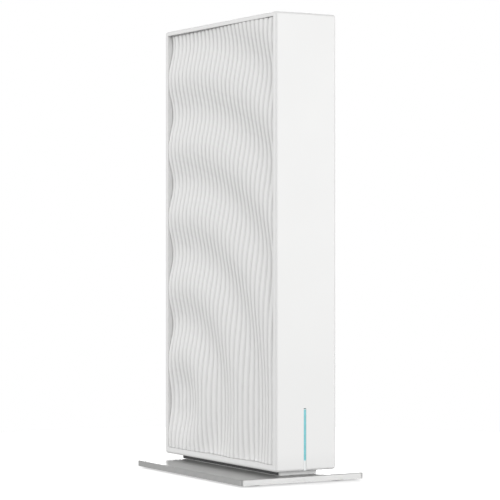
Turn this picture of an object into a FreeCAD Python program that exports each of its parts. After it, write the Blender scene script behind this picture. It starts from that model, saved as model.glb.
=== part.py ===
import FreeCAD, Part
import math
import os
import re
import Sketcher

# A free-standing tower router: a slim upright casing on a wide base plate.
# X runs across the width, Y from the front (-Y) to the sockets (+Y) and Z up.
# The origin is on the surface that the feet stand on, under the middle of the casing.

Vector = FreeCAD.Vector
X_AXIS = Vector(1, 0, 0)
Y_AXIS = Vector(0, 1, 0)
Z_AXIS = Vector(0, 0, 1)

SIZES = {
    # how far a cut passes the face that it opens
    "beyond": 1.0,
    # casing
    "body_height": 240.0, "body_depth": 123.6, "body_width": 37.2, "edge_radius": 1.4,
    "top_rim": 2.4, "bottom_rim": 3.5, "back_rim": 3.8, "front_rim": 2.75,
    "ledge_width": 1.6, "recess_depth": 4.4, "lug_size": 7.0, "lug_length": 3.9,
    "blind_floor": 0.8,
    # wave panels
    "panel_gap": 0.3, "slab_thickness": 1.0, "crest_sink": 0.15, "rib_pitch": 4.486,
    "rib_width": 3.5, "rib_start": -61.0, "wave_reach": 1.343, "wave_length": 39.23,
    "wave_start": 0.693, "wave_centre_y": 44.04, "wave_centre_z": 37.92,
    "hook_width": 5.0, "hook_length": 1.3, "hook_height": 1.4, "hook_spread": 30.0,
    # base
    "foot_height": 1.0, "foot_radius": 6.0, "foot_inset": 12.0,
    "plate_thickness": 3.2, "plate_width": 75.2, "plate_depth": 118.2, "plate_chamfer": 0.35,
    "neck_height": 3.1, "neck_width": 23.6, "neck_depth": 107.0, "neck_radius": 1.2,
    "neck_foot_height": 0.5, "neck_foot_inset": 1.5,
    "base_screw_x": 6.0, "base_screw_y": 42.0, "base_screw_tip": 11.5, "base_hole_end": 12.0,
    # light slit
    "slit_x": -0.7, "slit_width": 1.5, "slit_height": 32.8, "guide_width": 1.2, "guide_tail": 6.5,
    "baffle_width": 13.0, "baffle_depth": 10.1, "baffle_bottom": 13.0, "baffle_height": 31.6,
    "channel_width": 3.0, "channel_bottom": 15.2, "channel_height": 27.4,
    "led_board_width": 12.0, "led_board_thickness": 1.0, "led_count": 5.0, "led_pitch": 5.0,
    "led_first_z": 17.5, "led_width": 2.6, "led_length": 3.2, "led_depth": 1.3,
    "baffle_hole_floor": 1.5, "baffle_screw_x": 4.2, "baffle_screw_low": 20.0, "baffle_screw_high": 38.0,
    # rear panel
    "window_width": 27.0, "window_bottom": 13.9, "window_top": 239.5, "window_depth": 4.1,
    "throat_width": 23.0, "throat_bottom": 23.0, "throat_top": 231.5,
    "panel_thickness": 2.0, "panel_sink": 2.0, "fit_gap": 0.3,
    "vent_width": 18.0, "vent_height": 1.8, "vent_pitch": 4.0, "vent_first_z": 176.0,
    "vent_count": 14.0, "rear_screw_low": 18.5, "rear_screw_high": 235.5, "rear_boss_radius": 3.2,
    "rear_boss_length": 5.2,
    # tray and boards
    "tray_face": -10.9, "tray_thickness": 1.4, "tray_gap": 0.6, "post_radius": 2.8,
    "post_hole_depth": 0.5, "tray_window_front": -24.0, "tray_window_back": 10.0,
    "tray_window_height": 40.0, "tray_window_low": 64.0, "tray_window_high": 112.0,
    "board_face": -6.75, "board_thickness": 1.6, "board_front": -38.0, "board_back": 55.3,
    "board_bottom": 22.0, "board_top": 204.0,
    # network and power sockets
    "jack_width": 16.0, "jack_height": 13.5, "jack_back": 38.2, "mouth": 59.3,
    "plug_width": 11.9, "plug_depth": 14.0, "plug_low": -3.6, "plug_high": 3.4,
    "latch_width": 6.4, "latch_height": 1.8, "tab_width": 3.6, "tab_height": 0.8,
    "wan_z": 74.0, "lan_first_z": 96.0, "lan_pitch": 18.5, "contact_pitch": 1.02,
    "contact_size": 0.4, "contact_start": 47.0, "contact_end": 57.5,
    "lamp_width": 2.4, "lamp_height": 1.6, "lamp_depth": 0.8, "lamp_spread": 5.8, "lamp_x": -5.5,
    "dc_z": 34.0, "dc_width": 10.0, "dc_top": 5.0, "dc_back": 45.0, "dc_shoulder": 57.2,
    "dc_nose_radius": 4.0, "dc_bore_radius": 3.15, "dc_bore_depth": 10.5,
    "dc_pin_radius": 1.05, "dc_pin_end": 58.0,
    # buttons
    "power_z": 52.0, "power_radius": 4.0, "power_flange": 4.9, "power_back": 55.8,
    "power_face": 61.2, "stem_size": 3.0, "stem_end": 48.5, "stem_slot": 3.8,
    "power_switch_back": 38.0, "power_switch_front": 50.0, "power_slot_end": 45.5,
    "power_switch_size": 9.0, "power_switch_top": 4.5,
    "pair_z": 152.0, "pair_radius": 2.3, "pair_flange": 3.2, "pair_back": 56.1,
    "pair_face": 60.6, "plunger_radius": 1.2, "plunger_end": 54.0, "plunger_well": 1.6,
    "pair_switch_back": 50.0, "pair_switch_front": 54.6, "pair_well_end": 53.2,
    "tact_size": 6.0, "tact_top": 3.0,
    "reset_z": 163.0, "reset_radius": 1.0, "reset_end": 54.9, "reset_face": 56.4,
    "reset_well": 1.4, "reset_switch_back": 51.5, "reset_switch_front": 55.6,
    "reset_well_end": 54.2, "pinhole_radius": 1.1, "flange_thickness": 0.8,
    # cooling
    "chip_face": -4.95, "sink_gap": 0.5, "sink_base": 2.0, "sink_front": -36.0, "sink_back": 18.0,
    "sink_bottom": 62.0, "sink_top": 186.0, "fin_count": 10.0, "fin_thickness": 1.2,
    "fin_height": 15.0, "fin_margin": 8.0, "sink_screw_inset": 4.0,
    # fasteners
    "screw_radius": 1.15, "screw_clearance": 0.1, "screw_loose": 0.2, "screw_head": 2.1,
    "screw_head_height": 1.4, "base_screw_radius": 1.5, "base_head_radius": 3.1,
    "rear_screw": 7.0, "baffle_screw": 6.0, "tray_screw": 4.2, "board_screw": 4.4, "sink_screw": 8.7,
    "base_screw_sink": 0.1, "base_slot_length": 3.4, "base_slot_width": 0.7, "base_slot_depth": 1.1,
    "cross_reach": 0.65, "cross_half_width": 0.3, "cross_depth": 0.6,
    # leads
    "lead_radius": 0.57, "antenna_thickness": 0.8, "plug_size": 2.6, "plug_foot": 0.65,
    "plug_thickness": 1.4, "cable_thickness": 0.3, "cable_width": 5.6,
    "cable_z": 27.0, "cable_lead_in": 2.6, "cable_lead_out": 2.2, "connector_width": 7.2,
    "connector_height": 2.8, "connector_depth": 2.2, "connector_length": 4.0,
    "lamp_plug_x": -3.0, "board_plug_x": 1.0, "board_plug_y": -35.5,
}

BODY_BASE = "(foot_height + plate_thickness + neck_height)"
BODY_TOP = f"({BODY_BASE} + body_height)"
FRONT = "(-body_depth / 2)"
BACK = "(body_depth / 2)"
RECESS_FRONT = f"({FRONT} + front_rim)"
RECESS_BACK = f"({BACK} - back_rim)"
RECESS_BOTTOM = f"({BODY_BASE} + bottom_rim)"
RECESS_TOP = f"({BODY_TOP} - top_rim)"
INNER_FRONT = f"({RECESS_FRONT} + ledge_width)"
INNER_BACK = f"({RECESS_BACK} - ledge_width)"
INNER_BOTTOM = f"({RECESS_BOTTOM} + ledge_width)"
INNER_TOP = f"({RECESS_TOP} - ledge_width)"
PLATE_TOP = "(foot_height + plate_thickness)"
PANEL_FACE = f"({BACK} - panel_sink)"
PANEL_BACK = f"({PANEL_FACE} - panel_thickness)"
BOARD_BACK_FACE = "(board_face - board_thickness)"
SINK_FOOT = "(chip_face + sink_gap)"
SINK_FACE = f"({SINK_FOOT} + sink_base)"
SCREW_HOLE = "(screw_radius + screw_clearance)"
SCREW_CLEAR = "(screw_radius + screw_loose)"
LED_BOARD_FRONT = f"({INNER_FRONT} + baffle_depth + 0.25)"
LED_BOARD_BACK = f"({LED_BOARD_FRONT} + led_board_thickness)"

BOARD_SCREWS = [("-22", "27"), ("-34", "200"), ("32", "26"), ("50", "200")]
JACKS = {"wan_jack": "wan_z", "lan_jack_1": "lan_first_z",
         "lan_jack_2": "(lan_first_z + lan_pitch)", "lan_jack_3": "(lan_first_z + 2 * lan_pitch)"}
BOARD_SOCKETS = [("-24", "194"), ("22", "194"), ("-32", "194"), ("-32", "50")]

NORMAL_SIGN = {"XY_Plane": 1, "XZ_Plane": -1, "YZ_Plane": 1}

DOC = FreeCAD.newDocument("wireless_router")
SHEET = DOC.addObject("Spreadsheet::Sheet", "Sizes")
PIECES = []


def fill_sheet():
    """Write every driving dimension into the sheet, one row each."""
    for row, (name, size) in enumerate(SIZES.items(), start=1):
        SHEET.set(f"A{row}", name)
        SHEET.set(f"B{row}", str(size))
        SHEET.setAlias(f"B{row}", name)
    DOC.recompute()


def on_sheet(formula):
    """Point each size's name in a formula at its cell."""
    return re.sub(r"[a-z][a-z0-9_]*", lambda word: f"Sizes.{word.group()}", str(formula))


def value(formula):
    """Return the number that a formula comes to."""
    return float(SHEET.evalExpression(on_sheet(formula)))


def bind(thing, setting, formula):
    """Drive one setting of an object from the sheet."""
    thing.setExpression(setting, on_sheet(formula))


def piece(thing, label):
    """Name a finished sub-part and keep it for export."""
    thing.Label = label
    PIECES.append(thing)
    return thing


# Sketches and features of a body

def new_body(label):
    """Start a body that becomes one sub-part."""
    return piece(DOC.addObject("PartDesign::Body", label), label)


def sketch_on(body, role, at="0"):
    """Start a sketch parallel to one of the body's origin planes, through a place on its axis."""
    sketch = body.newObject("Sketcher::SketchObject", "Sketch")
    plane = next(item for item in body.Origin.OriginFeatures if item.Role == role)
    sketch.AttachmentSupport = [(plane, "")]
    sketch.MapMode = "FlatFace"
    bind(sketch, "AttachmentOffset.Base.z", f"{NORMAL_SIGN[role]} * ({at})")
    return sketch


def place_point(sketch, geometry, point, where):
    """Hold a point of a sketch at a distance from the sketch's origin."""
    for kind, formula in zip(("DistanceX", "DistanceY"), where):
        rule = Sketcher.Constraint(kind, -1, 1, geometry, point, value(formula))
        number = sketch.addConstraint(rule)
        bind(sketch, f"Constraints[{number}]", formula)


def rectangle(sketch, low, high):
    """Draw a rectangle between two corners, each given as a pair of formulas."""
    left, bottom, right, top = (value(formula) for formula in (*low, *high))
    corners = [Vector(left, bottom), Vector(right, bottom), Vector(right, top), Vector(left, top)]
    first = sketch.GeometryCount
    for start, end in zip(corners, corners[1:] + corners[:1]):
        sketch.addGeometry(Part.LineSegment(start, end))
    for side in range(4):
        following = first + (side + 1) % 4
        sketch.addConstraint(Sketcher.Constraint("Coincident", first + side, 2, following, 1))
        direction = "Vertical" if side % 2 else "Horizontal"
        sketch.addConstraint(Sketcher.Constraint(direction, first + side))
    place_point(sketch, first, 1, low)
    place_point(sketch, first + 2, 1, high)


def circle(sketch, centre, radius):
    """Draw a circle about a centre."""
    middle = Vector(value(centre[0]), value(centre[1]))
    ring = sketch.addGeometry(Part.Circle(middle, Z_AXIS, value(radius)))
    place_point(sketch, ring, 3, centre)
    number = sketch.addConstraint(Sketcher.Constraint("Radius", ring, value(radius)))
    bind(sketch, f"Constraints[{number}]", radius)


def add_feature(body, kind, sketch, length, reverse, grows):
    """Add a pad or a pocket, and make sure that it changes the solid the right way."""
    before = body.Shape.Volume if body.Shape.Solids else 0.0
    feature = body.newObject(kind, kind.split("::")[1])
    feature.Profile = sketch
    if length is None:
        feature.Type = "ThroughAll"
        feature.SideType = "Symmetric"
    else:
        bind(feature, "Length", length)
    feature.Reversed = reverse
    DOC.recompute()
    change = body.Shape.Volume - before
    if (change > 0) != grows or abs(change) < 1e-6:
        raise RuntimeError(f"{body.Label}: {feature.Name} changed the volume by {change:.4f}")
    return feature


def pad(body, sketch, length, toward=1):
    """Grow a sketch along its plane's axis: toward is 1 for up the axis and -1 for down it."""
    sign = NORMAL_SIGN[sketch.AttachmentSupport[0][0].Role]
    return add_feature(body, "PartDesign::Pad", sketch, length, toward * sign < 0, True)


def pocket(body, sketch, length=None, toward=1):
    """Cut a sketch into the solid along its plane's axis, or right through with no length."""
    sign = NORMAL_SIGN[sketch.AttachmentSupport[0][0].Role]
    return add_feature(body, "PartDesign::Pocket", sketch, length, toward * sign > 0, False)


def repeat(body, feature, sketch, axis, length, count):
    """Repeat a feature in a line along an axis of its sketch."""
    pattern = body.newObject("PartDesign::LinearPattern", "LinearPattern")
    pattern.Originals = [feature]
    pattern.Direction = (sketch, [axis])
    bind(pattern, "Length", length)
    bind(pattern, "Occurrences", count)
    body.Tip = pattern
    DOC.recompute()


def dress(body, kind, size, wanted):
    """Fillet or chamfer the edges of the body that a test picks."""
    edges = [f"Edge{i}" for i, edge in enumerate(body.Shape.Edges, start=1) if wanted(edge)]
    base = body.Tip
    feature = body.newObject(kind, kind.split("::")[1])
    feature.Base = (base, edges)
    bind(feature, "Radius" if kind.endswith("Fillet") else "Size", size)
    DOC.recompute()


# Simple solids

def box(low, high, label=None):
    """Make a box between two corners, each given as three formulas."""
    solid = DOC.addObject("Part::Box", label or "Box")
    for axis, size, start, end in zip("xyz", ("Length", "Width", "Height"), low, high):
        bind(solid, f"Placement.Base.{axis}", start)
        bind(solid, size, f"({end}) - ({start})")
    return piece(solid, label) if label else solid


def block(centre, size, label=None):
    """Make a box from the middle of its lower X face and its sizes along X, Y and Z."""
    low = (centre[0], f"{centre[1]} - {size[1]} / 2", f"{centre[2]} - {size[2]} / 2")
    high = (f"{centre[0]} + {size[0]}", f"{centre[1]} + {size[1]} / 2",
            f"{centre[2]} + {size[2]} / 2")
    return box(low, high, label)


def rod(start, axis, radius, length, label=None):
    """Make a cylinder from a point along an axis."""
    solid = DOC.addObject("Part::Cylinder", label or "Cylinder")
    solid.Placement.Rotation = FreeCAD.Rotation(Z_AXIS, axis)
    for letter, formula in zip("xyz", start):
        bind(solid, f"Placement.Base.{letter}", formula)
    bind(solid, "Radius", radius)
    bind(solid, "Height", length)
    return piece(solid, label) if label else solid


def cut(base, tool, label=None):
    """Take one solid away from another."""
    result = DOC.addObject("Part::Cut", label or "Cut")
    result.Base = base
    result.Tool = tool
    return piece(result, label) if label else result


def fuse(solids, label=None):
    """Join solids into one."""
    result = DOC.addObject("Part::MultiFuse", label or "Fuse")
    result.Shapes = solids
    return piece(result, label) if label else result


def group(solids, label):
    """Keep separate solids together as one sub-part."""
    result = DOC.addObject("Part::Compound", label)
    result.Links = solids
    return piece(result, label)


def screw(place, axis, length):
    """Make one pan-head screw with a cross recess; the place is under its head."""
    shank = rod(("0", "0", "0"), Z_AXIS, "screw_radius", length)
    head = rod(("0", "0", "-screw_head_height"), Z_AXIS, "screw_head", "screw_head_height")
    arm = "screw_head * cross_reach"
    floor = "-screw_head_height * (1 - cross_depth)"
    slots = [box((f"-{half}", f"-{other}", "-screw_head_height - beyond"), (half, other, floor))
             for half, other in ((arm, "cross_half_width"), ("cross_half_width", arm))]
    whole = cut(fuse([shank, head]), fuse(slots))
    whole.Placement.Rotation = FreeCAD.Rotation(Z_AXIS, axis)
    for letter, formula in zip("xyz", place):
        bind(whole, f"Placement.Base.{letter}", formula)
    return whole


# Casing

def outer_frame():
    """Make the one-piece ring of front, top, back and bottom walls, open at both sides."""
    body = new_body("outer_frame")
    ring = sketch_on(body, "YZ_Plane", "-body_width / 2")
    rectangle(ring, (FRONT, BODY_BASE), (BACK, BODY_TOP))
    pad(body, ring, "body_width")
    dress(body, "PartDesign::Fillet", "edge_radius", lambda edge: True)
    inside = sketch_on(body, "YZ_Plane")
    rectangle(inside, (INNER_FRONT, INNER_BOTTOM), (INNER_BACK, INNER_TOP))
    pocket(body, inside)
    for side in (1, -1):
        recess = sketch_on(body, "YZ_Plane", f"{side} * body_width / 2")
        rectangle(recess, (RECESS_FRONT, RECESS_BOTTOM), (RECESS_BACK, RECESS_TOP))
        pocket(body, recess, "recess_depth", toward=-side)
    frame_openings(body)
    frame_bosses(body)


def frame_openings(body):
    """Cut the stepped window for the rear panel and the light slit into the ring."""
    window = sketch_on(body, "XZ_Plane", BACK)
    rectangle(window, ("-window_width / 2", "window_bottom"), ("window_width / 2", "window_top"))
    pocket(body, window, "window_depth", toward=-1)
    throat = sketch_on(body, "XZ_Plane", BACK)
    rectangle(throat, ("-throat_width / 2", "throat_bottom"), ("throat_width / 2", "throat_top"))
    pocket(body, throat, "back_rim + ledge_width + beyond", toward=-1)
    slit = sketch_on(body, "XZ_Plane", FRONT)
    rectangle(slit, ("slit_x - slit_width / 2", f"{BODY_BASE} - beyond"),
              ("slit_x + slit_width / 2", f"{BODY_BASE} + slit_height"))
    pocket(body, slit, "front_rim + ledge_width", toward=1)


def frame_bosses(body):
    """Add the corner lugs that the tray is screwed to, the rear screw bosses and all holes."""
    lugs = sketch_on(body, "YZ_Plane", "tray_face")
    for low_y, high_y in ((f"{INNER_FRONT} - beyond", f"{INNER_FRONT} + lug_size"),
                          (f"{INNER_BACK} - lug_size", f"{INNER_BACK} + beyond")):
        for low_z, high_z in ((f"{INNER_BOTTOM} - beyond", f"{INNER_BOTTOM} + lug_size"),
                              (f"{INNER_TOP} - lug_size", f"{INNER_TOP} + beyond")):
            rectangle(lugs, (low_y, low_z), (high_y, high_z))
    pad(body, lugs, "lug_length")
    lug_holes = sketch_on(body, "YZ_Plane", "tray_face")
    for y, z in tray_screw_places():
        circle(lug_holes, (y, z), SCREW_HOLE)
    pocket(body, lug_holes, "lug_length - blind_floor", toward=1)
    bosses = sketch_on(body, "XZ_Plane", INNER_BACK)
    for z in ("rear_screw_low", "rear_screw_high"):
        circle(bosses, ("0", z), "rear_boss_radius")
    pad(body, bosses, "rear_boss_length", toward=-1)
    rear_holes = sketch_on(body, "XZ_Plane", PANEL_BACK)
    for z in ("rear_screw_low", "rear_screw_high"):
        circle(rear_holes, ("0", z), SCREW_HOLE)
    pocket(body, rear_holes, "rear_boss_length", toward=-1)
    base_holes = sketch_on(body, "XY_Plane", BODY_BASE)
    for x, y in base_screw_places():
        circle(base_holes, (x, y), "base_screw_radius + screw_clearance")
    pocket(body, base_holes, f"base_hole_end - {BODY_BASE}", toward=1)


def tray_screw_places():
    """List the middles of the four corner lugs."""
    return [(y, z) for y in (f"({INNER_FRONT} + lug_size / 2)", f"({INNER_BACK} - lug_size / 2)")
            for z in (f"({INNER_BOTTOM} + lug_size / 2)", f"({INNER_TOP} - lug_size / 2)")]


def base_screw_places():
    """List the places of the four screws that hold the base."""
    return [(x, y) for x in ("-base_screw_x", "base_screw_x")
            for y in ("-base_screw_y", "base_screw_y")]


def rib_profile(y, low, high):
    """Return the rippled outer line that one rib follows up the panel."""
    reach, length, start = value("wave_reach"), value("wave_length"), value("wave_start")
    centre_y, centre_z = value("wave_centre_y"), value("wave_centre_z")
    level = value("body_width / 2 - crest_sink - wave_reach")
    steps = round((high - low) / (length / 10))
    points = []
    for step in range(steps + 1):
        z = low + (high - low) * step / steps
        distance = math.hypot(y - centre_y, z - centre_z)
        ripple = reach * math.sin(2 * math.pi * distance / length + start)
        points.append(Vector(level - ripple, y, z))
    line = Part.BSplineCurve()
    line.interpolate(points)
    return line.toShape()


def panel_rib(near, far, foot, low, high):
    """Make one upright rib between two places along Y, from the slab out to its profile."""
    outer = rib_profile((near + far) / 2, low, high)
    outer.translate(Y_AXIS * (near - far) / 2)
    bottom, top = outer.Vertexes[0].Point, outer.Vertexes[1].Point
    corners = [top, Vector(foot, near, high), Vector(foot, near, low), bottom]
    sides = [Part.makeLine(start, end) for start, end in zip(corners, corners[1:])]
    return Part.Face(Part.Wire([outer, *sides])).extrude(Y_AXIS * (far - near))


def wave_panel(label, side):
    """Make a side panel: a slab with upright rippled ribs outside and snap hooks inside."""
    front, back = value(f"{RECESS_FRONT} + panel_gap"), value(f"{RECESS_BACK} - panel_gap")
    bottom, top = value(f"{RECESS_BOTTOM} + panel_gap"), value(f"{RECESS_TOP} - panel_gap")
    slab_back = value("body_width / 2 - recess_depth")
    slab, pitch, width = value("slab_thickness"), value("rib_pitch"), value("rib_width")
    shape = Part.makeBox(slab, back - front, top - bottom, Vector(slab_back, front, bottom))
    first = value("rib_start")
    ribs = []
    for number in range(int((back - first) / pitch) + 1):
        near = max(first + number * pitch, front)
        far = min(first + number * pitch + width, back)
        if far - near > width / 4:
            ribs.append(panel_rib(near, far, slab_back + slab, bottom, top))
    shape = shape.fuse(ribs + panel_hooks(slab_back)).removeSplitter()
    if side < 0:
        shape = shape.mirror(Vector(0, 0, 0), X_AXIS)
    panel = DOC.addObject("Part::Feature", label)
    panel.Shape = shape.Solids[0]
    panel.Placement = FreeCAD.Placement()
    piece(panel, label)


def panel_hooks(slab_back):
    """Make the hooks that snap behind the ring's ledge, just inside its opening."""
    width, length = value("hook_width"), value("hook_length")
    height, spread = value("hook_height"), value("hook_spread")
    gap = 0.2
    hooks = []
    for middle in (-spread, 0, spread):
        for low in (value(INNER_BOTTOM) + gap, value(INNER_TOP) - gap - height):
            corner = Vector(slab_back - length, middle - width / 2, low)
            hooks.append(Part.makeBox(length + gap, width, height, corner))
    return hooks


def rear_panel():
    """Make the recessed plate that the sockets, buttons and cooling slots open through."""
    body = new_body("rear_panel")
    outline = sketch_on(body, "XZ_Plane", PANEL_BACK)
    rectangle(outline, ("-window_width / 2 + fit_gap", "window_bottom + fit_gap"),
              ("window_width / 2 - fit_gap", "window_top - fit_gap"))
    pad(body, outline, "panel_thickness")
    sockets = sketch_on(body, "XZ_Plane", PANEL_BACK)
    for z in JACKS.values():
        rectangle(sockets, ("-jack_height / 2 - fit_gap", f"{z} - jack_width / 2 - fit_gap"),
                  ("jack_height / 2 + fit_gap", f"{z} + jack_width / 2 + fit_gap"))
    pocket(body, sockets)
    rounds = sketch_on(body, "XZ_Plane", PANEL_BACK)
    circle(rounds, ("0", "dc_z"), "dc_nose_radius + fit_gap")
    circle(rounds, ("0", "power_z"), "power_radius + fit_gap")
    circle(rounds, ("0", "pair_z"), "pair_radius + fit_gap")
    circle(rounds, ("0", "reset_z"), "pinhole_radius")
    for z in ("rear_screw_low", "rear_screw_high"):
        circle(rounds, ("0", z), SCREW_CLEAR)
    pocket(body, rounds)
    vent = sketch_on(body, "XZ_Plane", PANEL_BACK)
    rectangle(vent, ("-vent_width / 2", "vent_first_z"),
              ("vent_width / 2", "vent_first_z + vent_height"))
    slot = pocket(body, vent, "panel_thickness + beyond", toward=1)
    repeat(body, slot, vent, "V_Axis", "vent_pitch * (vent_count - 1)", "vent_count")
    group([screw(("0", PANEL_FACE, z), -Y_AXIS, "rear_screw")
           for z in ("rear_screw_low", "rear_screw_high")], "rear_screws")


# Base

def base_plate():
    """Make the wide foot plate, with countersunk holes for the screws into the casing."""
    body = new_body("base_plate")
    outline = sketch_on(body, "XY_Plane", "foot_height")
    rectangle(outline, ("-plate_width / 2", "-plate_depth / 2"),
              ("plate_width / 2", "plate_depth / 2"))
    pad(body, outline, "plate_thickness")
    upright = lambda edge: abs(edge.tangentAt(edge.FirstParameter).z) > 0.99
    dress(body, "PartDesign::Fillet", "edge_radius", upright)
    upper = lambda edge: edge.BoundBox.ZMin > value(PLATE_TOP) - 0.01
    dress(body, "PartDesign::Chamfer", "plate_chamfer", upper)
    places = sketch_on(body, "XY_Plane", "foot_height")
    for x, y in base_screw_places():
        circle(places, (x, y), "base_screw_radius + screw_loose")
    DOC.recompute()
    before = body.Shape.Volume
    holes = body.newObject("PartDesign::Hole", "Hole")
    holes.Profile = places
    holes.Reversed = True
    holes.DepthType = "ThroughAll"
    holes.Diameter = 2 * value("base_screw_radius + screw_loose")
    holes.HoleCutType = "Countersink"
    holes.HoleCutCustomValues = True
    holes.HoleCutDiameter = 2 * value("base_head_radius + screw_loose")
    holes.HoleCutCountersinkAngle = 90
    DOC.recompute()
    if body.Shape.Volume >= before:
        raise RuntimeError("base_plate: the screw holes cut nothing")


def base_neck():
    """Make the narrow spacer under the casing, stepped in at its foot so that the joint is in shade."""
    body = new_body("base_neck")
    outline = sketch_on(body, "XY_Plane", PLATE_TOP)
    rectangle(outline, ("-neck_width / 2", "-neck_depth / 2"), ("neck_width / 2", "neck_depth / 2"))
    pad(body, outline, "neck_height")
    upright = lambda edge: abs(edge.tangentAt(edge.FirstParameter).z) > 0.99
    dress(body, "PartDesign::Fillet", "neck_radius", upright)
    shadow = sketch_on(body, "XY_Plane", PLATE_TOP)
    for inset in ("-beyond", "neck_foot_inset"):
        rectangle(shadow, (f"-neck_width / 2 + {inset}", f"-neck_depth / 2 + {inset}"),
                  (f"neck_width / 2 - {inset}", f"neck_depth / 2 - {inset}"))
    pocket(body, shadow, "neck_foot_height", toward=1)
    holes = sketch_on(body, "XY_Plane", PLATE_TOP)
    for x, y in base_screw_places():
        circle(holes, (x, y), "base_screw_radius + screw_loose")
    pocket(body, holes)


def base_fittings():
    """Make the four rubber feet and the four countersunk base screws."""
    feet = [rod((f"{x} * (plate_width / 2 - foot_inset)", f"{y} * (plate_depth / 2 - foot_inset)",
                 "0"), Z_AXIS, "foot_radius", "foot_height") for x in (-1, 1) for y in (-1, 1)]
    group(feet, "base_feet")
    screws = []
    for x, y in base_screw_places():
        head = DOC.addObject("Part::Cone", "Cone")
        for letter, formula in zip("xyz", (x, y, "foot_height + base_screw_sink")):
            bind(head, f"Placement.Base.{letter}", formula)
        bind(head, "Radius1", "base_head_radius")
        bind(head, "Radius2", "base_screw_radius")
        bind(head, "Height", "base_head_radius - base_screw_radius")
        shank = rod((x, y, "foot_height + base_screw_sink"), Z_AXIS, "base_screw_radius",
                    "base_screw_tip - foot_height - base_screw_sink")
        slots = [box((f"{x} - {half}", f"{y} - {other}", "foot_height"),
                     (f"{x} + {half}", f"{y} + {other}", "foot_height + base_slot_depth"))
                 for half, other in (("base_slot_length / 2", "base_slot_width / 2"),
                                     ("base_slot_width / 2", "base_slot_length / 2"))]
        screws.append(cut(fuse([head, shank]), fuse(slots)))
    group(screws, "base_screws")


# Light slit

def light_guide():
    """Make the clear blade that fills the slit and carries the light out."""
    body = new_body("light_guide")
    blade = sketch_on(body, "YZ_Plane", "slit_x - guide_width / 2")
    rectangle(blade, (f"{FRONT} + 0.1", f"{BODY_BASE} + 0.15"),
              (f"{INNER_FRONT} - 0.1", f"{BODY_BASE} + slit_height - 0.4"))
    pad(body, blade, "guide_width")
    tail = sketch_on(body, "YZ_Plane", "slit_x - guide_width / 2")
    rectangle(tail, (f"{INNER_FRONT} - 0.6", "channel_bottom + 0.2"),
              (f"{INNER_FRONT} + guide_tail", f"{BODY_BASE} + slit_height - 0.4"))
    pad(body, tail, "guide_width")


def light_baffle():
    """Make the opaque light box between the slit and the lamp board."""
    body = new_body("light_baffle")
    outline = sketch_on(body, "XZ_Plane", f"{INNER_FRONT} + 0.15")
    rectangle(outline, ("-baffle_width / 2", "baffle_bottom"),
              ("baffle_width / 2", "baffle_bottom + baffle_height"))
    pad(body, outline, "baffle_depth")
    channel = sketch_on(body, "XZ_Plane", f"{INNER_FRONT}")
    rectangle(channel, ("-channel_width / 2", "channel_bottom"),
              ("channel_width / 2", "channel_bottom + channel_height"))
    pocket(body, channel)
    holes = sketch_on(body, "XZ_Plane", f"{INNER_FRONT} + 0.15 + baffle_depth")
    for x, z in baffle_screw_places():
        circle(holes, (x, z), SCREW_HOLE)
    pocket(body, holes, "baffle_depth - baffle_hole_floor", toward=-1)
    group([screw((x, LED_BOARD_BACK, z), -Y_AXIS, "baffle_screw") for x, z in baffle_screw_places()],
          "baffle_screws")


def baffle_screw_places():
    """List the two screws that hold the lamp board on the light box."""
    return [("-baffle_screw_x", "baffle_screw_high"), ("baffle_screw_x", "baffle_screw_low")]


def led_board():
    """Make the small lamp board, its lamps, and the flat cable's two sockets."""
    body = new_body("led_board")
    outline = sketch_on(body, "XZ_Plane", LED_BOARD_FRONT)
    rectangle(outline, ("-led_board_width / 2", "baffle_bottom + 1"),
              ("led_board_width / 2", "baffle_bottom + baffle_height - 1"))
    pad(body, outline, "led_board_thickness")
    holes = sketch_on(body, "XZ_Plane", LED_BOARD_FRONT)
    for x, z in baffle_screw_places():
        circle(holes, (x, z), SCREW_CLEAR)
    pocket(body, holes)
    lamps = []
    for number in range(int(SIZES["led_count"])):
        z = f"led_first_z + {number} * led_pitch"
        lamps.append(box(("-led_width / 2", f"{LED_BOARD_FRONT} - led_depth", f"{z} - led_length / 2"),
                         ("led_width / 2", LED_BOARD_FRONT, f"{z} + led_length / 2")))
    group(lamps, "status_leds")


def led_cable():
    """Make the flat cable from the lamp board to the main board, and the sockets at its ends."""
    low, high = "cable_z - connector_width / 2", "cable_z + connector_width / 2"
    lamp_socket = box(("lamp_plug_x - connector_height / 2", LED_BOARD_BACK, low),
                      ("lamp_plug_x + connector_height / 2", f"{LED_BOARD_BACK} + connector_depth", high))
    board_socket = box(("board_face", "board_plug_y", low),
                       ("board_face + 2 * board_plug_x", "board_plug_y + connector_length", high))
    group([lamp_socket, board_socket], "led_cable_sockets")
    start = Vector(value("lamp_plug_x"), value(f"{LED_BOARD_BACK} + connector_depth"), value("cable_z"))
    end = Vector(value("board_face + board_plug_x"), value("board_plug_y"), value("cable_z"))
    points = [start, start + Y_AXIS * value("cable_lead_in"), end - Y_AXIS * value("cable_lead_out"), end]
    half_width, half_thickness = value("cable_width / 2"), value("cable_thickness / 2")
    corners = [start + X_AXIS * x * half_thickness + Z_AXIS * z * half_width
               for x, z in ((-1, -1), (1, -1), (1, 1), (-1, 1), (-1, -1))]
    section = Part.makePolygon(corners)
    cable = DOC.addObject("Part::Feature", "led_cable")
    cable.Shape = swept(points, section)
    cable.Placement = FreeCAD.Placement()
    piece(cable, "led_cable")


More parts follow.
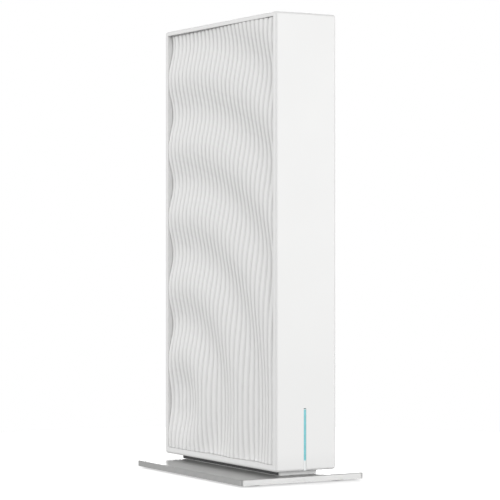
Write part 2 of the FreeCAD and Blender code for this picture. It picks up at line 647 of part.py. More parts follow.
def bent_path(points):
    """Join straight runs by tangent arcs, each as large as its two runs allow."""
    edges = []
    start = points[0]
    for before, corner, after in zip(points, points[1:], points[2:]):
        inward, outward = corner - before, after - corner
        setback = 0.45 * min(inward.Length, outward.Length)
        turn = inward.getAngle(outward)
        inward.normalize()
        outward.normalize()
        radius = setback / math.tan(turn / 2)
        first, last = corner - inward * setback, corner + outward * setback
        bisector = outward - inward
        bisector.normalize()
        middle = corner + bisector * (radius / math.cos(turn / 2) - radius)
        print(f"bend radius {radius:.2f}")
        edges.append(Part.LineSegment(start, first).toShape())
        edges.append(Part.Arc(first, middle, last).toShape())
        start = last
    edges.append(Part.LineSegment(start, points[-1]).toShape())
    return Part.Wire(edges)


def swept(points, section):
    """Sweep a closed section along a bent path and check the volume that comes out."""
    path = bent_path(points)
    solid = path.makePipeShell([section], True, False)
    expected = Part.Face(section).Area * path.Length
    if abs(solid.Volume - expected) > 0.02 * expected:
        raise RuntimeError(f"a swept lead has volume {solid.Volume:.2f}, not {expected:.2f}")
    return solid


# Tray and main board

def chassis_tray():
    """Make the plastic tray that carries the board and the aerials, screwed to the lugs."""
    body = new_body("chassis_tray")
    outline = sketch_on(body, "YZ_Plane", "tray_face")
    rectangle(outline, (f"{INNER_FRONT} + tray_gap", f"{INNER_BOTTOM} + tray_gap"),
              (f"{INNER_BACK} - tray_gap", f"{INNER_TOP} - tray_gap"))
    pad(body, outline, "tray_thickness", toward=-1)
    posts = sketch_on(body, "YZ_Plane", "tray_face")
    for y, z in BOARD_SCREWS + sink_screw_places():
        circle(posts, (y, z), "post_radius")
    pad(body, posts, f"{BOARD_BACK_FACE} - tray_face")
    post_holes = sketch_on(body, "YZ_Plane", BOARD_BACK_FACE)
    for y, z in BOARD_SCREWS + sink_screw_places():
        circle(post_holes, (y, z), SCREW_HOLE)
    pocket(body, post_holes, f"{BOARD_BACK_FACE} - tray_face + post_hole_depth", toward=-1)
    corner_holes = sketch_on(body, "YZ_Plane", "tray_face")
    for y, z in tray_screw_places():
        circle(corner_holes, (y, z), SCREW_CLEAR)
    pocket(body, corner_holes, "tray_thickness + beyond", toward=-1)
    windows = sketch_on(body, "YZ_Plane", "tray_face")
    for low in ("tray_window_low", "tray_window_high"):
        rectangle(windows, ("tray_window_front", low),
                  ("tray_window_back", f"{low} + tray_window_height"))
    pocket(body, windows, "tray_thickness + beyond", toward=-1)
    group([screw(("tray_face - tray_thickness", y, z), X_AXIS, "tray_screw")
           for y, z in tray_screw_places()], "tray_screws")


def sink_screw_places():
    """List the four screws that pull the heat sink down on the chips."""
    return [(y, z) for y in ("(sink_front + sink_screw_inset)", "(sink_back - sink_screw_inset)")
            for z in ("(sink_bottom + sink_screw_inset)", "(sink_top - sink_screw_inset)")]


def main_board():
    """Make the upright circuit board with its screw holes."""
    body = new_body("main_board")
    outline = sketch_on(body, "YZ_Plane", BOARD_BACK_FACE)
    rectangle(outline, ("board_front", "board_bottom"), ("board_back", "board_top"))
    pad(body, outline, "board_thickness")
    holes = sketch_on(body, "YZ_Plane", BOARD_BACK_FACE)
    for y, z in BOARD_SCREWS + sink_screw_places():
        circle(holes, (y, z), SCREW_CLEAR)
    pocket(body, holes)
    group([screw(("board_face", y, z), -X_AXIS, "board_screw") for y, z in BOARD_SCREWS], "board_screws")


def chips():
    """Make the chips, their shield cans, and the small parts of the board."""
    face = "board_face"
    block((face, "-9", "124"), ("1.8", "23", "23"), "processor_chip")
    group([block((face, y, "124"), ("1.1", "9", "13")) for y in ("-28", "9")], "memory_chips")
    block((face, "9", "108"), ("1", "6", "8"), "flash_chip")
    block((face, "30", "60"), ("1", "10", "10"), "network_chip")
    for label, z in (("radio_shield_low", "86"), ("radio_shield_high", "162")):
        can = block((face, "-9", z), ("1.8", "34", "26"))
        hollow = block((face, "-9", z), ("1.5", "33.4", "25.4"))
        cut(can, hollow, label)
    radios = [block((face, y, z), ("0.9", "9", "9")) for y in ("-17", "-1") for z in ("86", "162")]
    group(radios, "radio_chips")
    pads = [block(("chip_face", "-9", z), ("sink_gap", width, height))
            for z, width, height in (("86", "28", "20"), ("124", "20", "20"), ("162", "28", "20"))]
    group(pads, "thermal_pads")
    group([block((face, y, "34"), ("5", "10", "10")) for y in ("6", "-7")], "power_inductors")
    cans = [rod((face, y, z), X_AXIS, "4", "9") for y, z in (("21", "38"), ("21", "50"), ("8", "50"))]
    group(cans, "filter_capacitors")
    crystals = [block((face, y, z), ("0.8", "3.2", "2.5")) for y, z in (("-26", "104"), ("9", "142"))]
    group(crystals, "clock_crystals")
    group([block((face, "30", z), ("5", "9", "15")) for z in JACKS.values()], "network_transformers")


def heat_sink():
    """Make the finned sink that lies over the processor and both radio cans."""
    body = new_body("heat_sink")
    base = sketch_on(body, "YZ_Plane", SINK_FOOT)
    rectangle(base, ("sink_front", "sink_bottom"), ("sink_back", "sink_top"))
    pad(body, base, "sink_base")
    holes = sketch_on(body, "YZ_Plane", SINK_FOOT)
    for y, z in sink_screw_places():
        circle(holes, (y, z), SCREW_CLEAR)
    pocket(body, holes)
    fin = sketch_on(body, "YZ_Plane", SINK_FACE)
    rectangle(fin, ("sink_front", "sink_bottom + fin_margin"),
              ("sink_front + fin_thickness", "sink_top - fin_margin"))
    blade = pad(body, fin, "fin_height")
    repeat(body, blade, fin, "H_Axis", "sink_back - sink_front - fin_thickness", "fin_count")
    group([screw((SINK_FACE, y, z), -X_AXIS, "sink_screw") for y, z in sink_screw_places()], "sink_screws")


# Sockets

def network_jack(label, z):
    """Make one network socket: a block with a plug cavity and a stepped latch slot."""
    body = new_body(label)
    outline = sketch_on(body, "XZ_Plane", "jack_back")
    rectangle(outline, ("-jack_height / 2", f"{z} - jack_width / 2"),
              ("jack_height / 2", f"{z} + jack_width / 2"))
    pad(body, outline, "mouth - jack_back")
    for low, high, width in (("plug_low", "plug_high", "plug_width"),
                             ("plug_high", "plug_high + latch_height", "latch_width"),
                             ("plug_high + latch_height", "plug_high + latch_height + tab_height",
                              "tab_width")):
        cavity = sketch_on(body, "XZ_Plane", "mouth")
        rectangle(cavity, (low, f"{z} - {width} / 2"), (high, f"{z} + {width} / 2"))
        pocket(body, cavity, "plug_depth", toward=-1)
    lamps = sketch_on(body, "XZ_Plane", "mouth")
    for side in (-1, 1):
        rectangle(lamps, ("lamp_x - lamp_height / 2", f"{z} + {side} * lamp_spread - lamp_width / 2"),
                  ("lamp_x + lamp_height / 2", f"{z} + {side} * lamp_spread + lamp_width / 2"))
    pocket(body, lamps, "lamp_depth", toward=-1)


def jack_details():
    """Make the sockets' contact wires and the two lamp windows in each mouth."""
    contacts = []
    windows = []
    for z in JACKS.values():
        for number in range(8):
            along = f"{z} + ({number} - 3.5) * contact_pitch"
            low = ("plug_low", "contact_start", f"{along} - contact_size / 2")
            high = ("plug_low + contact_size", "contact_end", f"{along} + contact_size / 2")
            contacts.append(box(low, high))
        for side in (-1, 1):
            along = f"{z} + {side} * lamp_spread"
            low = ("lamp_x - lamp_height / 2 + 0.05", "mouth - lamp_depth",
                   f"{along} - lamp_width / 2 + 0.05")
            high = ("lamp_x + lamp_height / 2 - 0.05", "mouth", f"{along} + lamp_width / 2 - 0.05")
            windows.append(box(low, high))
    group(contacts, "jack_contacts")
    group(windows, "jack_lamps")


def dc_jack():
    """Make the barrel power inlet: a block with a round nose, a bore and a centre pin."""
    body = new_body("dc_jack")
    outline = sketch_on(body, "XZ_Plane", "dc_back")
    rectangle(outline, ("board_face", "dc_z - dc_width / 2"), ("dc_top", "dc_z + dc_width / 2"))
    pad(body, outline, "dc_shoulder - dc_back")
    nose = sketch_on(body, "XZ_Plane", "dc_shoulder")
    circle(nose, ("0", "dc_z"), "dc_nose_radius")
    pad(body, nose, "mouth - dc_shoulder")
    bore = sketch_on(body, "XZ_Plane", "mouth")
    circle(bore, ("0", "dc_z"), "dc_bore_radius")
    pocket(body, bore, "dc_bore_depth", toward=-1)
    pin = new_body("dc_jack_pin")
    round_pin = sketch_on(pin, "XZ_Plane", "mouth - dc_bore_depth")
    circle(round_pin, ("0", "dc_z"), "dc_pin_radius")
    pad(pin, round_pin, "dc_pin_end - mouth + dc_bore_depth")
    tip = lambda edge: edge.BoundBox.YMin > value("dc_pin_end") - 0.01
    dress(pin, "PartDesign::Chamfer", "0.3", tip)


# Buttons

def button_cap(label, z, radius, flange, back, face):
    """Turn one round button cap with the flange that keeps it behind the rear panel."""
    body = new_body(label)
    disc = sketch_on(body, "XZ_Plane", back)
    circle(disc, ("0", z), flange)
    pad(body, disc, "flange_thickness")
    cap = sketch_on(body, "XZ_Plane", f"{back} + flange_thickness")
    circle(cap, ("0", z), radius)
    pad(body, cap, f"{face} - {back} - flange_thickness")
    rim = lambda edge: edge.BoundBox.YMin > value(face) - 0.01
    dress(body, "PartDesign::Fillet", "0.4", rim)


def buttons():
    """Make the three switches, and the caps and plungers that move."""
    button_cap("power_button", "power_z", "power_radius", "power_flange", "power_back",
               "power_face")
    box(("-stem_size / 2", "stem_end", "power_z - stem_size / 2"),
        ("stem_size / 2", "power_back", "power_z + stem_size / 2"), "power_stem")
    case = box(("board_face", "power_switch_back", "power_z - power_switch_size / 2"),
               ("power_switch_top", "power_switch_front", "power_z + power_switch_size / 2"))
    slot = box(("-stem_slot / 2", "power_slot_end", "power_z - stem_slot / 2"),
               ("stem_slot / 2", "power_switch_front + beyond", "power_z + stem_slot / 2"))
    cut(case, slot, "power_switch")
    button_cap("pair_button", "pair_z", "pair_radius", "pair_flange", "pair_back", "pair_face")
    rod(("0", "plunger_end", "pair_z"), Y_AXIS, "plunger_radius", "pair_back - plunger_end",
        "pair_plunger")
    tact_switch("pair_switch", "pair_z", "pair_switch_back", "pair_switch_front",
                "pair_well_end", "plunger_well")
    rod(("0", "reset_end", "reset_z"), Y_AXIS, "reset_radius", "reset_face - reset_end",
        "reset_plunger")
    tact_switch("reset_switch", "reset_z", "reset_switch_back", "reset_switch_front",
                "reset_well_end", "reset_well")


def tact_switch(label, z, back, front, well_end, well_radius):
    """Make a small push switch whose plunger sinks into a round well."""
    case = box(("board_face", back, f"{z} - tact_size / 2"),
               ("tact_top", front, f"{z} + tact_size / 2"))
    well = rod(("0", well_end, z), Y_AXIS, well_radius, f"{front} - {well_end} + beyond")
    cut(case, well, label)


# Aerials

def antennas():
    """Make the four aerial boards on the tray, and their coaxial leads to the main board."""
    places = {"antenna_top_front": (("-50", "-15"), ("219", "232")),
              "antenna_top_rear": (("13", "48"), ("219", "232")),
              "antenna_front_high": (("-56", "-47"), ("138", "182")),
              "antenna_front_low": (("-56", "-47"), ("60", "104"))}
    for label, ((low_y, high_y), (low_z, high_z)) in places.items():
        box(("tray_face", low_y, low_z), ("tray_face + antenna_thickness", high_y, high_z), label)
    near = value("tray_face + antenna_thickness + lead_radius") + 0.03
    over = value("board_face + plug_foot + plug_thickness / 2")
    half_plug = value("plug_size / 2")
    routes = [[(near, y, 226), (near, y, 213), (over, y, 206), (over, y, 194 + half_plug)]
              for y in (-24, 22)]
    routes += [[(near, -51, start), (near, -51, bend), (over, -43, end), (over, -32 - half_plug, end)]
               for start, bend, end in ((174, 186, 194), (68, 57, 50))]
    leads = []
    for route in routes:
        points = [Vector(*place) for place in route]
        circle_edge = Part.makeCircle(value("lead_radius"), points[0], points[1] - points[0])
        leads.append(swept(points, Part.Wire(circle_edge)))
    bundle = DOC.addObject("Part::Feature", "antenna_leads")
    bundle.Shape = Part.Compound(leads)
    bundle.Placement = FreeCAD.Placement()
    piece(bundle, "antenna_leads")
    group([rod(("board_face", y, z), X_AXIS, "1", "plug_foot") for y, z in BOARD_SOCKETS],
          "antenna_sockets")
    group([block(("board_face + plug_foot", y, z), ("plug_thickness", "plug_size", "plug_size"))
           for y, z in BOARD_SOCKETS], "antenna_plugs")


def check_document():
    """Stop if any object failed or any sub-part is empty or not valid."""
    DOC.recompute()
    for thing in DOC.Objects:
        if "Invalid" in thing.State or "Error" in thing.State:
            raise RuntimeError(f"{thing.Label} failed: {thing.State}")
    for thing in PIECES:
        if thing.Shape.isNull() or not thing.Shape.isValid() or not thing.Shape.Solids:
            raise RuntimeError(f"{thing.Label} has no valid solid")


def export_pieces():
    """Write each sub-part's own STEP file."""
    os.makedirs("parts", exist_ok=True)
    for thing in PIECES:
        thing.Shape.exportStep(f"parts/{thing.Label}.step")
    print(f"{len(PIECES)} sub-parts written")


fill_sheet()
outer_frame()
wave_panel("left_wave_panel", -1)
wave_panel("right_wave_panel", 1)
rear_panel()
base_plate()
base_neck()
base_fittings()
light_guide()
light_baffle()
led_board()
led_cable()
chassis_tray()
main_board()
chips()
heat_sink()
for jack_name, jack_z in JACKS.items():
    network_jack(jack_name, jack_z)
jack_details()
dc_jack()
buttons()
antennas()
check_document()
export_pieces()
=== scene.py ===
import math

import bmesh
import bpy
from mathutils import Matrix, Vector


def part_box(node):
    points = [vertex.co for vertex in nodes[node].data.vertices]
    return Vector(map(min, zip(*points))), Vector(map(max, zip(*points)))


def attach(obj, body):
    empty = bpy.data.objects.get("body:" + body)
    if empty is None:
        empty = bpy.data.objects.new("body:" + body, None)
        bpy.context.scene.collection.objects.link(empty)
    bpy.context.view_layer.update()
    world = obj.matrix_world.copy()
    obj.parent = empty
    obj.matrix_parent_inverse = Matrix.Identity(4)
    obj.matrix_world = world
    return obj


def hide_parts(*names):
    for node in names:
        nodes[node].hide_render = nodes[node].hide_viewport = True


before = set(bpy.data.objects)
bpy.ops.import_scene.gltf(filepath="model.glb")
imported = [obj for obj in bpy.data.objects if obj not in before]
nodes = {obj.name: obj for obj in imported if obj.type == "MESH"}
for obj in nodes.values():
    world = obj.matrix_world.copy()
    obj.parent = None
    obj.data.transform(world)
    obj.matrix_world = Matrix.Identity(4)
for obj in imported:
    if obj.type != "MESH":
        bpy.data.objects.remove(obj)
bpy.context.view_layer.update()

MM = 0.001


# ---------------------------------------------------------------- casing ring
# One moulding in white ABS that makes the front, the top, the back and the bottom,
# open at both sides. Its skin is spark-eroded to a fine satin, so that no gate shows.

class Shade:
    """A socket of a material, on which Python's operators stand for Math nodes."""

    def __init__(self, finish, socket):
        self.finish = finish
        self.socket = socket

    def math(self, operation, other=0.0, swapped=False):
        first, second = (other, self) if swapped else (self, other)
        return self.finish.node("ShaderNodeMath", {"operation": operation}, {0: first, 1: second})

    def __add__(self, other):
        return self.math("ADD", other)

    def __sub__(self, other):
        return self.math("SUBTRACT", other)

    def __rsub__(self, other):
        return self.math("SUBTRACT", other, swapped=True)

    def __mul__(self, other):
        return self.math("MULTIPLY", other)

    __radd__ = __add__
    __rmul__ = __mul__

    def step(self, low, high):
        """Rise smoothly from 0 at low to 1 at high."""
        inputs = {"Value": self, "From Min": low, "From Max": high}
        return self.finish.node("ShaderNodeMapRange", {"interpolation_type": "SMOOTHSTEP"}, inputs)


class Finish:
    """A material with one Principled shader, whose constants are set on its own sockets."""

    def __init__(self, name, **constants):
        self.material = bpy.data.materials.new(name)
        self.material.use_nodes = True
        self.tree = self.material.node_tree
        self.shader = self.tree.nodes["Principled BSDF"]
        for socket, amount in constants.items():
            self.shader.inputs[socket.replace("_", " ")].default_value = amount

    def node(self, kind, settings=None, inputs=None, output=0):
        """Add a node: its settings first, then the values or links of its sockets."""
        node = self.tree.nodes.new(kind)
        for name, setting in (settings or {}).items():
            setattr(node, name, setting)
        for socket, amount in (inputs or {}).items():
            self.join(node.inputs[socket], amount)
        return Shade(self, node.outputs[output])

    def join(self, socket, amount):
        """Link a shade to a socket, or set its value."""
        if isinstance(amount, Shade):
            self.tree.links.new(amount.socket, socket)
        else:
            socket.default_value = amount

    def feed(self, **sockets):
        """Feed what changes over the surface to the shader."""
        for name, amount in sockets.items():
            self.join(self.shader.inputs[name.replace("_", " ")], amount)
        return self.material

    def place(self, stretch=(1, 1, 1)):
        """Return the place on the piece, stretched for a pattern."""
        spot = self.node("ShaderNodeTexCoord", output=3)
        return self.node("ShaderNodeMapping", {}, {"Vector": spot, "Scale": stretch})

    def axis(self, letter):
        """Return one coordinate of the place on the piece, in metres."""
        spot = self.node("ShaderNodeTexCoord", output=3)
        return self.node("ShaderNodeSeparateXYZ", {}, {0: spot}, "XYZ".index(letter))

    def grain(self, size, detail=2.0, stretch=(1, 1, 1)):
        """Return a soft random pattern with features of about that size in metres."""
        inputs = {"Vector": self.place(stretch), "Scale": 1 / size, "Detail": detail}
        return self.node("ShaderNodeTexNoise", {}, inputs)

    def blend(self, share, first, second):
        """Mix two colours by a share from 0 to 1."""
        ends = [colour if isinstance(colour, Shade) else (*colour, 1) for colour in (first, second)]
        inputs = {0: share, 6: ends[0], 7: ends[1]}
        return self.node("ShaderNodeMix", {"data_type": "RGBA"}, inputs, 2)

    def bump(self, height, depth):
        """Return a normal for a height pattern whose full range is a depth in metres."""
        return self.node("ShaderNodeBump", {}, {"Height": height, "Distance": depth, "Strength": 1.0})


def moulded(name, colour, roughness=0.5, grain=0.0004, depth=0.00001, shift=0.03, **constants):
    """Make a moulded plastic: a fine even skin, faint flow marks and slightly uneven gloss."""
    finish = Finish(name, **constants)
    flow = finish.grain(0.035, 3.0)
    skin = finish.grain(grain, 3.0)
    dark = tuple(channel * (1 - shift) for channel in colour)
    light = tuple(min(1.0, channel * (1 + shift * 0.5)) for channel in colour)
    return finish.feed(
        Base_Color=finish.blend(flow * 0.7 + skin * 0.3, dark, light),
        Roughness=flow * 0.08 + skin * 0.08 + (roughness - 0.08),
        Normal=finish.bump(skin, depth))


def paint(material, *names):
    """Give CAD pieces a finish, in place of the plain one that they came with."""
    for name in names:
        nodes[name].data.materials.clear()
        nodes[name].data.materials.append(material)


casing_white = (0.72, 0.72, 0.715)
casing_satin = moulded("casing_satin", casing_white, 0.46, 0.00035, 0.000006, 0.012)
paint(casing_satin, "outer_frame")


# ---------------------------------------------------------------- wave panels
# Two covers that snap into the ring's sides. Each is a white moulding with upright
# round-faced ribs, whose faces rise and sink in rings round a point low at the back.

rib_pitch = 4.486 * MM
rib_depth = 0.85 * MM
rib_crest = 61.8 * MM
rib_round = 0.15 * MM
flank_start = 0.5
flank_end = 0.94
ripple_reach = 1.343 * MM
ripple_length = 39.23 * MM
ripple_start = 0.693
ripple_middle = (44.04 * MM, 37.92 * MM)
panel_thickness = 4.25 * MM
edge_roll = 0.25 * MM
edge_rings = (0.3, 0.7, 1.3)
edge_reach = 0.2 * MM
groove_crowding = 0.6
columns_per_rib = 14
row_height = 1.5 * MM
sharp_bend = math.radians(50)


def ripple(y, z):
    """Return how far the ripple sinks the ribs at a place, from their middle level."""
    distance = math.hypot(y - ripple_middle[0], z - ripple_middle[1])
    return ripple_reach * math.sin(math.tau * distance / ripple_length + ripple_start)


def rib_fall(y):
    """Return how far a rib's face has fallen from its crest: a round top, then a steep flank."""
    across = abs(2 * (((y - rib_crest) / rib_pitch + 0.5) % 1.0) - 1)
    flank = min(1.0, max(0.0, (across - flank_start) / (flank_end - flank_start)))
    return rib_depth * flank * flank * (3 - 2 * flank) + rib_round * across * across


def crowd(y):
    """Move a column towards the nearest groove, where the face bends most."""
    across = (y - rib_crest) / rib_pitch + 0.5
    return y - groove_crowding * rib_pitch * math.sin(math.tau * across) / math.tau


def new_piece(name, mesh_maker, material, smooth=True):
    """Turn a bmesh into a piece at the origin with one finish."""
    mesh = bpy.data.meshes.new(name)
    mesh_maker.to_mesh(mesh)
    mesh_maker.free()
    mesh.materials.append(material)
    mesh.polygons.foreach_set("use_smooth", [smooth] * len(mesh.polygons))
    piece = bpy.data.objects.new(name, mesh)
    bpy.context.scene.collection.objects.link(piece)
    return piece


def wave_panel(node, side, material):
    """Model one wave panel in place of its CAD node; side is -1 or 1 along X."""
    low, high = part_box(node)
    reach = Vector((0, edge_reach, edge_reach))
    low, high = low - reach, high + reach
    crest = max(abs(low.x), abs(high.x))
    level = crest - ripple_reach
    columns = round((high.y - low.y) / rib_pitch * columns_per_rib)
    rows = round((high.z - low.z) / row_height)
    panel = bmesh.new()
    bmesh.ops.create_grid(panel, x_segments=columns, y_segments=rows, size=0.5)
    for share in edge_rings:
        for along, size in ((0, high.y - low.y), (1, high.z - low.z)):
            for end in (-1, 1):
                place = Vector((0, 0, 0))
                place[along] = end * (0.5 - share * edge_roll / size)
                direction = Vector((0, 0, 0))
                direction[along] = 1
                everything = panel.verts[:] + panel.edges[:] + panel.faces[:]
                bmesh.ops.bisect_plane(panel, geom=everything, plane_co=place, plane_no=direction)
    for vertex in panel.verts:
        y = low.y + (vertex.co.x + 0.5) * (high.y - low.y)
        z = low.z + (vertex.co.y + 0.5) * (high.z - low.z)
        inset = min(y - low.y, high.y - y, z - low.z, high.z - z)
        if inset > 2 * edge_roll:
            y = crowd(y)
        roll = max(0.0, 1 - inset / edge_roll)
        depth = ripple(y, z) + rib_fall(y) + edge_roll * (1 - math.sqrt(1 - roll * roll))
        vertex.co = (side * (level - depth), y, z)
    rim = [edge for edge in panel.edges if edge.is_boundary]
    skirt = bmesh.ops.extrude_edge_only(panel, edges=rim)["geom"]
    foot = [item for item in skirt if isinstance(item, bmesh.types.BMVert)]
    for vertex in foot:
        vertex.co.x = side * (crest - panel_thickness)
    bmesh.ops.holes_fill(panel, edges=[edge for edge in panel.edges if edge.is_boundary])
    bmesh.ops.recalc_face_normals(panel, faces=panel.faces[:])
    piece = new_piece(node.replace("_panel", "_cover"), panel, material)
    piece.data.set_sharp_from_angle(angle=sharp_bend)
    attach(piece, "housing")
    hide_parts(node)


panel_satin = moulded("panel_satin", casing_white, 0.75, 0.00035, 0.000006, 0.012)
wave_panel("left_wave_panel", -1, panel_satin)
wave_panel("right_wave_panel", 1, panel_satin)


# ---------------------------------------------------------------- light slit
# A frosted acrylic blade that fills the slit at the foot of the front. Five lamps
# behind it light all but its lowest part, which lies under the casing's floor.

lit_foot = (12.2 * MM, 13.4 * MM)
lit_head = (38.9 * MM, 40.0 * MM)
lowest_lamp = 17.5 * MM
lamp_pitch = 5 * MM


def frosted_light(name):
    """Make the blade: cyan light over the lamps, pale frosted acrylic elsewhere."""
    finish = Finish(name, IOR=1.49, Emission_Strength=1.0)
    height = finish.axis("Z")
    lit = height.step(*lit_foot) * (1 - height.step(*lit_head))
    lamp = ((height - lowest_lamp) * (math.tau / lamp_pitch)).math("COSINE")
    frost = finish.grain(0.0006, 2.0)
    glow = lit * (lamp * 0.05 + frost * 0.06 + 0.92)
    return finish.feed(
        Base_Color=finish.blend(lit, (0.72, 0.74, 0.74), (0.02, 0.06, 0.07)),
        Emission_Color=finish.blend(glow, (0.0, 0.0, 0.0), (0.10, 0.43, 0.47)),
        Roughness=frost * 0.2 + 0.25,
        Normal=finish.bump(frost, 0.00001))


paint(frosted_light("lit_acrylic"), "light_guide")


# ---------------------------------------------------------------- base
# A wide flat plate of painted steel with broken edges, a narrow moulded spacer whose long sides carry
# painted shade for the gap under the casing, four rubber feet, and screws from below.

plate_grey = (0.42, 0.42, 0.415)
plate_satin = moulded("plate_satin", plate_grey, 0.36, 0.0003, 0.000008, 0.02, IOR=1.8, Metallic=0.4)
paint(plate_satin, "base_plate")


# Band across X where the painted shade on the spacer's long sides fades in.
painted_shade_edge = (11.4 * MM, 11.7 * MM)


def spacer(name):
    """Make the spacer's finish: white at its ends, with painted shade on its long sides for the shadow
    under the casing.
    """
    finish = Finish(name)
    skin = finish.grain(0.0005, 3.0)
    side = finish.axis("X").math("ABSOLUTE").step(*painted_shade_edge)
    return finish.feed(
        # Painted shade: the near-black colour on the long sides stands for the shadow under the casing's
        # overhang.
        Base_Color=finish.blend(side, (0.80, 0.80, 0.795), (0.06, 0.06, 0.062)),
        Roughness=skin * 0.1 + 0.45,
        Normal=finish.bump(skin, 0.00001))


paint(spacer("spacer_painted_shade"), "base_neck")
paint(moulded("foot_rubber", (0.035, 0.035, 0.036), 0.8, 0.0006, 0.00003, 0.2), "base_feet")


# ---------------------------------------------------------------- rear cover
# A white plate sunk into the back of the ring, with cut-outs for the sockets and
# buttons and a ladder of cooling slots. Two cross-head screws hold it.

paint(moulded("rear_satin", (0.70, 0.70, 0.70), 0.55, 0.0004, 0.00001, 0.015), "rear_panel")


def brushed(name, colour, roughness, stretch):
    """Make a bare metal with fine lines along one axis and cloudy handling marks."""
    finish = Finish(name, Metallic=1.0)
    lines = finish.grain(0.0004, 2.0, stretch)
    marks = finish.grain(0.006, 3.0)
    dark = tuple(channel * 0.82 for channel in colour)
    return finish.feed(
        Base_Color=finish.blend(lines * 0.5 + marks * 0.5, dark, colour),
        Roughness=lines * 0.12 + marks * 0.12 + (roughness - 0.12),
        Normal=finish.bump(lines, 0.000004))


screw_steel = brushed("screw_steel", (0.58, 0.57, 0.55), 0.32, (1, 1, 1))
paint(screw_steel, "rear_screws", "base_screws", "board_screws",
      "tray_screws", "sink_screws", "baffle_screws")


# ---------------------------------------------------------------- network sockets
# Four black nylon socket blocks, with eight gold-plated spring wires each and two
# small lamp windows in each mouth. They are soldered to the edge of the board.

socket_nylon = moulded("socket_nylon", (0.018, 0.018, 0.02), 0.42, 0.0005, 0.000012, 0.25)
paint(socket_nylon, "wan_jack", "lan_jack_1", "lan_jack_2", "lan_jack_3")
gold_plate = brushed("gold_plate", (0.86, 0.62, 0.27), 0.25, (1, 0.1, 1))
paint(gold_plate, "jack_contacts", "antenna_sockets", "antenna_plugs")


def lamp_lens(name, colour, light):
    """Make a small diffusing lamp window: a pale resin, a little uneven, faintly lit from inside."""
    finish = Finish(name, IOR=1.5, Emission_Strength=light)
    haze = finish.grain(0.0005, 2.0)
    dark = tuple(channel * 0.8 for channel in colour)
    return finish.feed(
        Base_Color=finish.blend(haze, dark, colour),
        Emission_Color=finish.blend(haze, dark, colour),
        Roughness=haze * 0.2 + 0.2)


paint(lamp_lens("lamp_window", (0.55, 0.62, 0.60), 0.02), "jack_lamps")
paint(lamp_lens("status_lamp", (0.40, 0.92, 0.96), 0.8), "status_leds")


# ---------------------------------------------------------------- power inlet and buttons
# A black barrel inlet with a nickel-plated centre pin; a round power key, a smaller
# pairing key and a sunken reset plunger, each pressing a switch on the board.

paint(socket_nylon, "dc_jack")
paint(brushed("nickel_pin", (0.66, 0.65, 0.62), 0.22, (1, 0.1, 1)), "dc_jack_pin")
paint(moulded("key_satin", (0.50, 0.50, 0.51), 0.45, 0.0003, 0.000006, 0.03), "power_button", "pair_button")
paint(moulded("key_stem", (0.62, 0.62, 0.60), 0.5), "power_stem", "pair_plunger", "reset_plunger")
paint(moulded("switch_case", (0.03, 0.03, 0.032), 0.5, 0.0005, 0.000012, 0.2),
      "power_switch", "pair_switch", "reset_switch")


# ---------------------------------------------------------------- lamp box behind the slit
# A black light box with a channel for the blade, and behind it a narrow board with
# five lamps, joined to the main board by a flat cable between white nylon sockets.

paint(moulded("light_box", (0.022, 0.022, 0.024), 0.65, 0.0006, 0.00002, 0.2), "light_baffle")
paint(moulded("connector_nylon", (0.70, 0.67, 0.58), 0.5, 0.0006, 0.00001, 0.05), "led_cable_sockets")


wire_pitch = 0.8 * MM


def flat_cable(name):
    """Make the flat cable: a pale film with a row of parallel tinned wires showing through."""
    finish = Finish(name, Coat_Roughness=0.15)
    wires = (finish.axis("Z") * (math.tau / wire_pitch)).math("COSINE").step(0.0, 0.6)
    haze = finish.grain(0.004, 2.0)
    return finish.feed(
        Base_Color=finish.blend(wires, (0.72, 0.72, 0.68), (0.42, 0.44, 0.47)),
        Roughness=haze * 0.15 + 0.3,
        Coat_Weight=haze * 0.3 + 0.3,
        Normal=finish.bump(wires, 0.00004))


paint(flat_cable("cable_film"), "led_cable")


# ---------------------------------------------------------------- boards and aerials
# Green solder-masked circuit boards with copper tracks under the mask, four small
# aerial boards on the tray, and thin grey coaxial leads from them to gold plugs.

upright_track_pitch = 1.1 * MM
level_track_pitch = 1.3 * MM
patches_per_metre = 70.0
holes_per_metre = 330.0


def circuit_board(name):
    """Make a solder-masked board: tracks in two directions in patches, and small plated holes."""
    finish = Finish(name, IOR=1.5)
    spots = {"Vector": finish.place(), "Scale": patches_per_metre}
    patches = finish.node("ShaderNodeTexVoronoi", {}, spots, 1)
    choice = finish.node("ShaderNodeSeparateColor", {}, {0: patches})
    upright = (finish.axis("Y") * (math.tau / upright_track_pitch)).math("COSINE").step(0.2, 0.5)
    level = (finish.axis("Z") * (math.tau / level_track_pitch)).math("COSINE").step(0.2, 0.5)
    pick = choice.step(0.45, 0.47)
    empty = choice.step(0.80, 0.82)
    tracks = (upright * pick + level * (1 - pick)) * (1 - empty)
    holes = finish.node("ShaderNodeTexVoronoi", {}, {"Vector": finish.place(), "Scale": holes_per_metre})
    plated = 1 - holes.step(0.10, 0.16)
    mask = finish.blend(tracks, (0.008, 0.055, 0.022), (0.018, 0.125, 0.045))
    return finish.feed(
        Base_Color=finish.blend(plated, mask, (0.62, 0.50, 0.28)),
        Roughness=tracks * 0.08 + finish.grain(0.01) * 0.1 + 0.3,
        Metallic=plated * 0.9,
        Normal=finish.bump(tracks, 0.00003))


board_green = circuit_board("board_green")
paint(board_green, "main_board", "led_board", "antenna_top_front", "antenna_top_rear",
      "antenna_front_high", "antenna_front_low")
paint(moulded("lead_jacket", (0.10, 0.10, 0.11), 0.45, 0.0008, 0.000015, 0.15), "antenna_leads")


# ---------------------------------------------------------------- parts on the main board
# Black epoxy chips, tinned shield cans over the radios, grey thermal pads, ferrite
# chokes and aluminium capacitors, all soldered to the side that the sink covers.

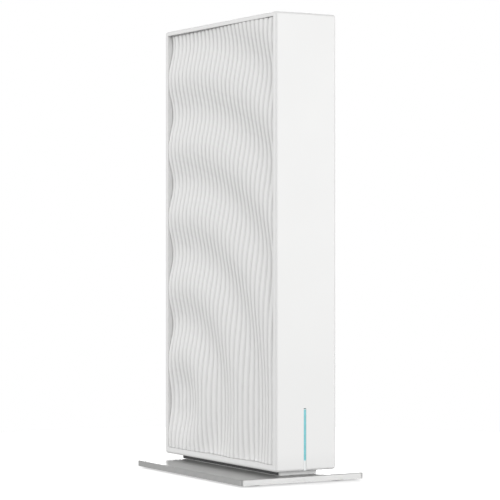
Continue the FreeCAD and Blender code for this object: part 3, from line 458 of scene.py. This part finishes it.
def chip_epoxy(name):
    """Make a chip's black epoxy: matt, with a fine speckle of filler."""
    finish = Finish(name)
    speckle = finish.grain(0.00015, 1.0)
    cloud = finish.grain(0.005, 2.0)
    return finish.feed(
        Base_Color=finish.blend(speckle * 0.6 + cloud * 0.4, (0.012, 0.012, 0.013), (0.035, 0.035, 0.037)),
        Roughness=cloud * 0.2 + 0.5,
        Normal=finish.bump(speckle, 0.000006))


paint(chip_epoxy("chip_epoxy"), "processor_chip", "memory_chips", "flash_chip", "network_chip",
      "radio_chips", "network_transformers")
paint(brushed("can_tinplate", (0.70, 0.70, 0.68), 0.3, (1, 0.08, 1)),
      "radio_shield_low", "radio_shield_high", "clock_crystals")
paint(moulded("pad_silicone", (0.32, 0.36, 0.42), 0.8, 0.0006, 0.00004, 0.1), "thermal_pads")
paint(moulded("choke_ferrite", (0.045, 0.043, 0.042), 0.7, 0.0004, 0.00004, 0.3), "power_inductors")
paint(brushed("capacitor_can", (0.74, 0.74, 0.74), 0.28, (0.1, 1, 1)), "filter_capacitors")


# ---------------------------------------------------------------- heat sink and tray
# An extruded aluminium sink with ten upright fins, screwed down through the board
# into a grey moulded tray, which is itself screwed to lugs inside the ring.

paint(brushed("sink_aluminium", (0.72, 0.73, 0.74), 0.36, (1, 1, 0.06)), "heat_sink")
paint(moulded("tray_grey", (0.24, 0.24, 0.25), 0.6, 0.0006, 0.00002, 0.08), "chassis_tray")


# ---------------------------------------------------------------- camera, floor and light
# A long lens at half the tower's height, a small plain white floor, and four large
# soft lamps round the tower, under a sky that fills in the shadows.

ground_radius = 0.3
lamp_target = Vector((0, 0, 0.12))
fill_strength = 0.3
mirrored_strength = 0.45
seen_strength = 1.0

lens = bpy.data.cameras.new("camera")
lens.lens = 148.9
lens.sensor_width = 36.0
camera = bpy.data.objects.new("camera", lens)
camera.location = (-0.5672, -0.9854, 0.1230)
camera.rotation_euler = (math.radians(90), 0, math.radians(-30))
bpy.context.scene.collection.objects.link(camera)
bpy.context.scene.camera = camera


def pale_ground(name):
    """Make the floor's finish: an even white that glows a little, and is clear from below."""
    finish = Finish(name, Emission_Color=(1, 1, 1, 1), Emission_Strength=0.45)
    cloud = finish.grain(0.01)
    below = finish.node("ShaderNodeNewGeometry", output=6)
    return finish.feed(
        Base_Color=finish.blend(cloud, (0.89, 0.89, 0.89), (0.91, 0.91, 0.91)),
        Roughness=cloud * 0.05 + 0.85,
        Alpha=1 - below)


ground = bmesh.new()
bmesh.ops.create_circle(ground, cap_ends=True, segments=96, radius=ground_radius)
floor = new_piece("floor", ground, pale_ground("floor_white"), smooth=False)
floor.visible_diffuse = False
floor.visible_glossy = False


def soft_lamp(name, place, size, power):
    """Hang a large square lamp and aim it at the middle of the tower."""
    light = bpy.data.lights.new(name, "AREA")
    light.size = size
    light.energy = power
    lamp = bpy.data.objects.new(name, light)
    lamp.location = place
    lamp.rotation_euler = (lamp_target - lamp.location).to_track_quat("-Z", "Y").to_euler()
    bpy.context.scene.collection.objects.link(lamp)


soft_lamp("left_lamp", (-2.0, 0.85, 0.7), 0.9, 36)
soft_lamp("fill_lamp", (-0.7, -2.0, 0.9), 1.0, 19)
soft_lamp("back_lamp", (1.3, 1.8, 0.9), 1.0, 20)
soft_lamp("front_lamp", (1.15, -2.1, 0.3), 0.9, 31)

sky = bpy.data.worlds.new("sky")
sky.use_nodes = True
bpy.context.scene.world = sky
sky_nodes = sky.node_tree.nodes
sky_links = sky.node_tree.links
rays = sky_nodes.new("ShaderNodeLightPath")
base_strength = sky_nodes.new("ShaderNodeValue")
base_strength.outputs[0].default_value = fill_strength
strength = base_strength.outputs[0]
for ray, ray_strength in (("Is Glossy Ray", mirrored_strength), ("Is Camera Ray", seen_strength)):
    choice = sky_nodes.new("ShaderNodeMix")
    choice.inputs["B"].default_value = ray_strength
    sky_links.new(rays.outputs[ray], choice.inputs["Factor"])
    sky_links.new(strength, choice.inputs["A"])
    strength = choice.outputs["Result"]
sky_nodes["Background"].inputs["Color"].default_value = (1, 1, 1, 1)
sky_links.new(strength, sky_nodes["Background"].inputs["Strength"])
bpy.context.scene.view_settings.view_transform = "Standard"
